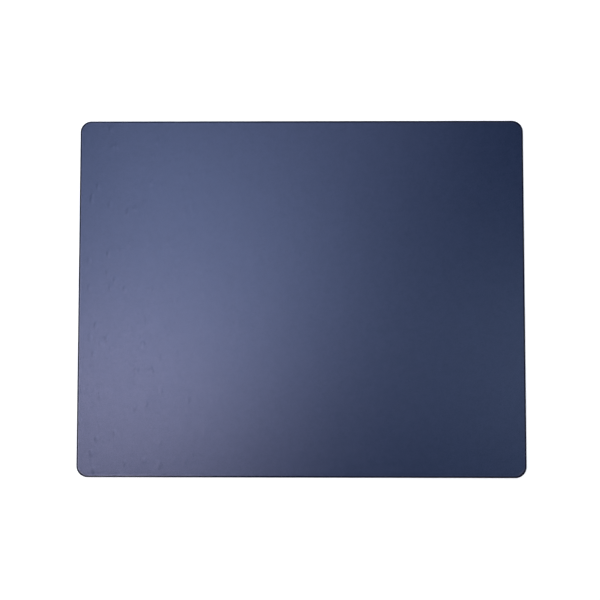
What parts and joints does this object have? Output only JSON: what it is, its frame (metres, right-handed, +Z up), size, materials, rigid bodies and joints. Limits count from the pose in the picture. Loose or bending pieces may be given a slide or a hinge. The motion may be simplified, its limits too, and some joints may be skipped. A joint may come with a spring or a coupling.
{
  "type": "desk mat",
  "caption": "Flat rectangular padded desk mat in navy leatherette, with round corners, a turned round edge and a felt underside.",
  "frame": {"origin": "middle of the underside, on the surface that the mat lies on", "axes": "+X along the long side to the user's right, +Y away from the user, +Z up out of the writing face"},
  "size_m": [0.508, 0.4064, 0.0051],
  "materials": {
    "leatherette": "satin",
    "foam": "matte",
    "board": "matte",
    "card": "matte",
    "felt": "matte"
  },
  "bodies": {
    "root": {"leatherette_cover": "leatherette", "cushion_foam": "foam", "core_board": "board", "infill_card": "card", "backing_felt": "felt"}
  },
  "joints": []
}
